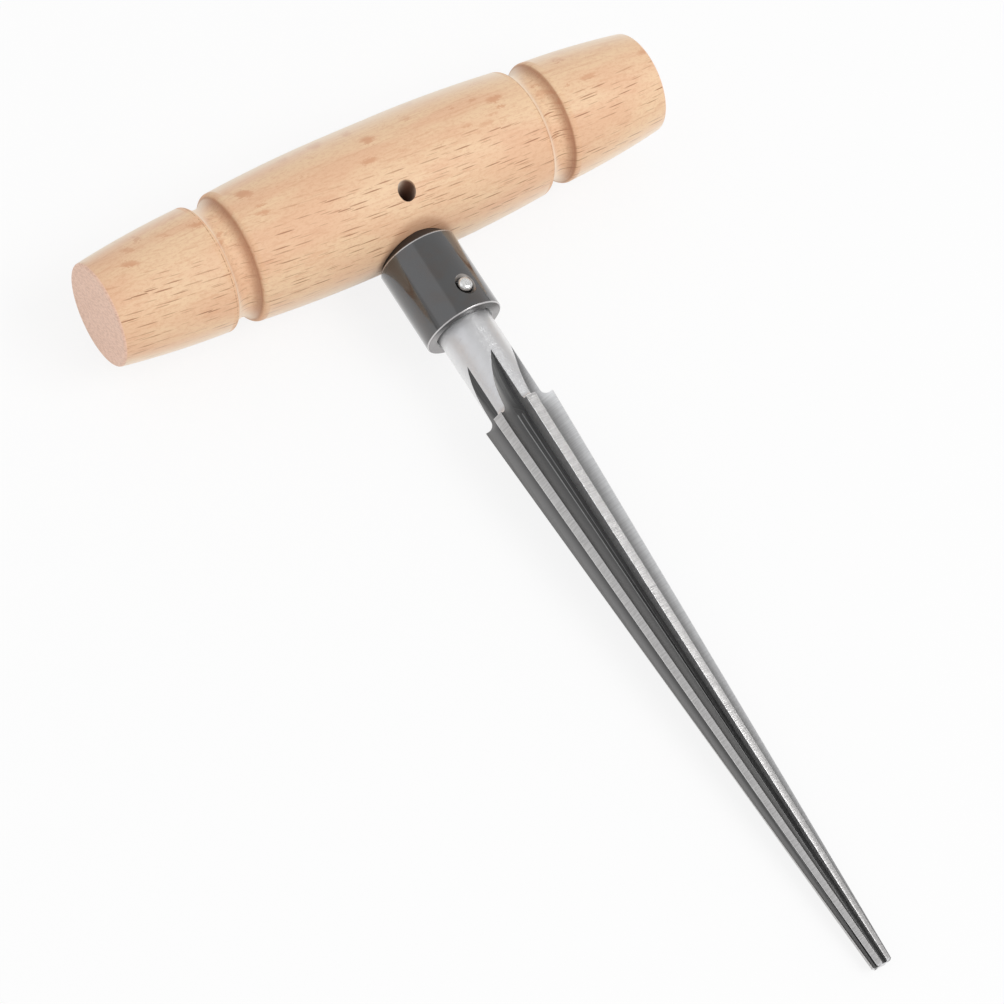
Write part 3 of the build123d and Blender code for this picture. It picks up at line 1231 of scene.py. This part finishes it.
        # Painted sheen: the wood is lightened towards its outline, away from the groove lips and the end
        # faces.
        clear = (reach - self.groove_reach - 0.5).size().step(0.35, 0.8) * (1 - end)
        colour = graph.colour(graph.grazing().step(0.4, 0.95) * clear.span(0.1, 0.9), colour, self.painted_rim_sheen)
        height = fibre * 0.3 + short * 0.6 + small * -0.2
        height = height + wall * lathe + in_cove * torn * 1.4 + end * speck * 1.5
        rough = soft.span(0.5, 0.62) + end * 0.15 + (1 - clear - end).step(0.0, 1.0) * 0.35
        sockets = {"Base Color": colour, "Roughness": rough, "Normal": graph.bump(height, self.bump_depth)}
        graph.finish(sockets | {"Sheen Weight": 0.3, "Sheen Roughness": 0.4})
        return material


@dataclass(frozen=True)
class BlackOxide:
    """Dark glossy finish of the collar, worn bright at its rims."""

    tool: ToolFrame
    collar: Collar
    bump_depth: float = 0.004
    oxide: Triple = (0.02, 0.02, 0.021)
    brown: Triple = (0.022, 0.014, 0.01)
    bare: Triple = (0.62, 0.6, 0.6)
    sunk: Triple = (0.3, 0.27, 0.25)

    def material(self) -> bpy.types.Material:
        """Make the collar's material.

        Returns:
            The material.
        """
        material, graph = new_material("collar_steel")
        collar = self.collar
        across, up, down = graph.on_tool(self.tool)
        place = graph.vector(across, up, down)
        radius = across.hypot(up)
        cloud = graph.noise(place, 0.35, 4.0)
        speck = graph.noise(place, 3.2, 3.0, 0.6)
        brushed = graph.noise(place, (0.5, 0.5, 9.0), 2.0)
        colour = graph.colour(cloud.step(0.4, 0.7), self.oxide, self.brown)

        worn = speck.span(-0.05, 0.05)
        outside = (radius + worn).step(collar.radius - 0.3, collar.radius - 0.12)
        low_rim = (down - collar.bottom + 0.05 + worn).size().step(0.18, 0.07) * outside
        high_rim = (down - collar.top - 0.12 + worn).size().step(0.14, 0.05) * outside
        face = down.step(collar.bottom - 0.05, collar.bottom - 0.01)
        face = face * radius.step(collar.bore_radius + 0.3, collar.bore_radius + 0.45)
        # The bottom face is ground bare steel, but its upper part keeps the dark oxide as painted shade.
        ground = graph.noise(graph.vector(radius, 0.0, 0.0), 9.0, 3.0)
        bare_face_with_painted_shade = face * ground.span(0.35, 0.75) * up.step(4.5, 1.0)
        bright = low_rim.over(high_rim * 0.8).over(bare_face_with_painted_shade)
        colour = graph.colour(bright, colour, self.bare)

        pin_place, pin_turn = collar.pin[0], math.radians(collar.pin[1])
        from_pin = (across * math.cos(pin_turn) - up * math.sin(pin_turn)).hypot(down - pin_place)
        sink_radius = collar.pin_hole_radius + collar.sink
        sink = from_pin.step(sink_radius + 0.05, sink_radius - 0.03)
        sink = sink * radius.step(collar.radius - 0.02, collar.radius - 0.1)
        sink = sink * radius.step(collar.bore_radius + 0.8, collar.bore_radius + 1.4)
        colour = graph.colour(sink, colour, self.sunk)

        metal = bright.over(sink)
        rough = speck.span(0.1, 0.2) + metal * 0.16 + down.step(collar.top, collar.top - 0.2) * 0.35
        glossy = down.step(collar.top - 0.1, collar.top) * (1 - face)
        sockets = {"Base Color": colour, "Roughness": rough, "Metallic": metal, "IOR": 1.45}
        sockets |= {"Coat Weight": glossy, "Coat IOR": 1.8, "Coat Roughness": 0.1}
        graph.finish(sockets | {"Normal": graph.bump(brushed * 0.3 + speck * 0.4, self.bump_depth)})
        return material


@dataclass(frozen=True)
class GroundSteel:
    """Ground tool steel: each face of the cutter has its own marks."""

    bump_depth: float = 0.006
    shank: Triple = (0.68, 0.68, 0.69)
    land: Triple = (0.6, 0.59, 0.585)
    edge: Triple = (0.92, 0.92, 0.92)
    # edge is the honed edges' colour and also the painted highlight at the shank's outline.
    front: Triple = (0.88, 0.88, 0.88)
    # The flute's floor and flank are dark partly from their rough ground finish and partly as painted
    # shade in the hollow.
    floor: Triple = (0.085, 0.085, 0.085)
    flank: Triple = (0.28, 0.275, 0.27)
    pale_line: Triple = (0.5, 0.5, 0.5)

    def material(self) -> bpy.types.Material:
        """Make the cutter's material.

        Returns:
            The material.
        """
        material, graph = new_material("cutter_steel")
        zone = graph.attribute("zone_number")
        across, along, _ = graph.parts(graph.add("ShaderNodeUVMap", {"uv_map": "ground"}))
        on_face = graph.vector(across, along, graph.attribute("tooth"))
        transverse = graph.noise(on_face, (0.25, 3.4, 7.0), 3.0, 0.65)
        fine = graph.noise(on_face, (0.4, 11.0, 5.0), 2.0)
        lengthwise = graph.noise(on_face, (4.5, 0.05, 3.0), 3.0, 0.6)
        place = graph.own_place()
        cloud = graph.noise(place, 0.3, 4.0)
        speck = graph.noise(place, 5.0, 3.0, 0.6)
        marked = transverse.step(0.3, 0.7)
        streaks = lengthwise.step(0.3, 0.75) * 0.3
        # Painted shade: each flank darkens from its heel towards the flute's floor.
        low = graph.attribute("height").step(1.0, 0.0) * 0.9

        def on(which: Zone) -> Wire:
            """1 on one kind of face."""
            return (zone - which.value).size().step(0.6, 0.4)

        colour = graph.colour(cloud.span(0.0, 0.3), self.shank, self.land)
        # Painted highlight: the shank and the shoulder are lightened towards their outline.
        colour = graph.colour(graph.grazing().step(0.25, 0.75) * 0.8, colour, self.edge)
        looks = {
            Zone.LAND: graph.colour(marked * 0.45, self.land, self.flank),
            Zone.EDGE: self.edge,
            Zone.TIP: self.shank,
            Zone.FRONT: graph.colour(marked * 0.2, self.front, self.flank),
            Zone.FLOOR: graph.colour(streaks, self.floor, self.flank),
            Zone.FLANK: graph.colour(low.over(streaks), self.flank, self.floor),
        }
        for which, look in looks.items():
            colour = graph.colour(on(which), colour, look)
        dark = on(Zone.FLOOR).over(on(Zone.FLANK))
        # Lighter thin lines along each flute's corner and ridge.
        line = graph.attribute("pale_line").step(0.25, 0.9) * dark * speck.span(0.3, 0.9)
        colour = graph.colour(line, colour, self.pale_line)
        fluted = dark.over(on(Zone.FRONT))
        rough = speck.span(0.3, 0.4) + fluted * 0.08 + on(Zone.SHOULDER) * 0.25
        turned_marks = (1 - fluted) * (transverse * on(Zone.LAND) * 2.0 + fine * 8.0)
        height = speck * 0.25 + turned_marks + fluted * lengthwise * 0.8
        sockets = {"Base Color": colour, "Roughness": rough, "Metallic": 1.0}
        graph.finish(sockets | {"Normal": graph.bump(height, self.bump_depth)})
        return material


@dataclass(frozen=True)
class PinSteel:
    """Hammered bright steel of a pin."""

    name: str
    colour: Triple
    roughness: float
    dent_depth: float = 0.08

    def material(self) -> bpy.types.Material:
        """Make a pin's material.

        Returns:
            The material.
        """
        material, graph = new_material(self.name)
        place = graph.own_place()
        dents = graph.noise(place, 1.6, 3.0)
        speck = graph.noise(place, 6.0)
        dark = tuple(0.6 * part for part in self.colour)
        colour = graph.colour(dents.step(0.4, 0.7) * 0.6, self.colour, dark)
        rough = speck.span(self.roughness - 0.06, self.roughness + 0.1)
        normal = graph.bump(dents + speck * 0.2, self.dent_depth)
        graph.finish({"Base Color": colour, "Roughness": rough, "Metallic": 1.0, "Normal": normal})
        return material


@dataclass
class Studio:
    """The floor, the soft light and the camera.

    The room is how bright the world is as a light, and a mirrored room is its brightness at and above the
    horizon where steel reflects it.
    """

    lens: float = 119.2
    sensor: float = 36.0
    eye: Triple = (-215.53, 465.93, 209.35)
    view_up: Triple = (0.4016, 0.4378, -0.8044)
    view_back: Triple = (-0.3848, 0.8777, 0.2856)
    floor_size: float = 6.0
    floor_grey: Triple = (0.9, 0.9, 0.9)
    floor_glow: float = 0.85
    room: float = 0.62
    mirrored_room: Pair = (0.4, 0.72)
    horizon: float = 0.13
    white: Triple = (1.0, 1.0, 1.0)

    def camera(self, tool: ToolFrame) -> None:
        """Add the camera, placed in the tool's own frame.

        Args:
            tool: where the tool lies.
        """
        data = bpy.data.cameras.new("camera")
        data.lens = self.lens
        data.sensor_width = self.sensor
        data.sensor_fit = "HORIZONTAL"
        data.clip_start = 0.01
        camera = new_object("camera", data)
        world = tool.world()
        turn = world.to_3x3() * (1 / MM)
        back = (turn @ Vector(self.view_back)).normalized()
        right = (turn @ Vector(self.view_up)).cross(back).normalized()
        view = Matrix((right, back.cross(right), back)).transposed().to_4x4()
        camera.matrix_world = Matrix.Translation(world @ Vector(self.eye)) @ view
        bpy.context.scene.camera = camera

    def rays(self, graph: Graph) -> tuple[Wire, Wire]:
        """Wires that are 1 for rays from the camera and for mirrored rays."""
        seen = graph.add("ShaderNodeLightPath")
        return seen, seen.beside("Is Glossy Ray")

    def floor(self) -> None:
        """Add the plain pale floor, which looks white from the camera."""
        half = self.floor_size / 2
        mesh = bpy.data.meshes.new("floor")
        corners = [(-half, -half, 0), (half, -half, 0), (half, half, 0), (-half, half, 0)]
        mesh.from_pydata(corners, [], [(0, 1, 2, 3)])
        material, graph = new_material("floor")
        seen, glossy = self.rays(graph)
        shaded = graph.add("ShaderNodeBsdfDiffuse", {}, {"Color": self.floor_grey})
        white = graph.add("ShaderNodeEmission", {}, {"Color": self.white, "Strength": 1.0})
        share = seen.over(glossy) * self.floor_glow
        mixed = graph.add("ShaderNodeMixShader", {}, {0: share, 1: shaded, 2: white})
        graph.add("ShaderNodeOutputMaterial", {}, {"Surface": mixed})
        mesh.materials.append(material)
        new_object("floor", mesh)

    def light(self, name: str, where: Triple, size: Pair, radiance: float, colour: Triple) -> None:
        """Add a rectangular softbox that faces the origin.

        Args:
            name: its name.
            where: its middle in metres.
            size: its width and height in metres.
            radiance: how bright its face looks, where 1 is white.
            colour: its tint.
        """
        data = bpy.data.lights.new(name, "AREA")
        data.shape = "RECTANGLE"
        data.size, data.size_y = size
        data.energy = radiance * math.pi * size[0] * size[1]
        data.color = colour
        turn = Vector(where).to_track_quat("Z", "Y").to_matrix().to_4x4()
        new_object(name, data).matrix_world = Matrix.Translation(where) @ turn

    def lights(self) -> None:
        """Add the softboxes and the world."""
        self.light("key", (0.55, -0.6, 1.1), (0.9, 0.7), 4.2, self.white)
        self.light("left_panel", (-0.97, 0.48, 0.91), (1.3, 1.4), 0.3, (0.9, 0.93, 1.0))
        world = bpy.data.worlds.new("studio")
        bpy.context.scene.world = world
        graph = shader_graph(world)
        seen, glossy = self.rays(graph)
        height = graph.parts(graph.add("ShaderNodeTexCoord", {}, {}, "Generated"))[2]
        mirrored = height.size().step(0.0, self.horizon).span(*self.mirrored_room)
        strength = graph.number(glossy, graph.number(seen, self.room, 1.0), mirrored)
        backdrop = graph.add("ShaderNodeBackground", {}, {"Color": self.white, "Strength": strength})
        graph.add("ShaderNodeOutputWorld", {}, {"Surface": backdrop})
        bpy.context.scene.view_settings.view_transform = "Standard"


def dress(piece: bpy.types.Object, material: bpy.types.Material, node: str) -> None:
    """Dress a piece and let it stand for its CAD node.

    Args:
        piece: the new piece.
        material: its finish.
        node: the CAD node that it replaces.
    """
    piece.data.materials.clear()
    piece.data.materials.append(material)
    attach(piece, "root")
    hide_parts(node)
    log.info("%s: %d faces, stands for %s", piece.name, len(piece.data.polygons), node)


def main() -> None:
    """Build and dress the whole tool, then light it."""
    logging.basicConfig(level=logging.INFO, format="%(message)s")
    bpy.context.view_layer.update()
    low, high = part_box("handle")
    handle, collar, reamer = Handle(), Collar(), Reamer()
    tip = Vector((reamer.shoulder_place + reamer.cutter_length, reamer.tip_radius))
    fall = math.asin(handle.radius / tip.length) - math.atan2(tip.y, tip.x)
    tool = ToolFrame((low + high) / 2, fall)
    dress(handle.build(tool), Beech(tool, handle).material(), "handle")
    dress(collar.build(tool), BlackOxide(tool, collar).material(), "collar")
    steel = GroundSteel().material()
    dress(reamer.build(tool, steel), steel, "reamer")
    bright = PinSteel("pin_steel", (0.85, 0.85, 0.84), 0.25)
    dress(ShankPin().build(tool), bright.material(), "shank_pin")
    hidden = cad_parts["handle_pin"].data.materials
    hidden.clear()
    hidden.append(PinSteel("hidden_pin_steel", (0.35, 0.35, 0.35), 0.5).material())
    log.info("handle_pin: keeps the solid's own mesh")
    studio = Studio()
    studio.floor()
    studio.lights()
    studio.camera(tool)


if __name__ == "__main__":
    main()
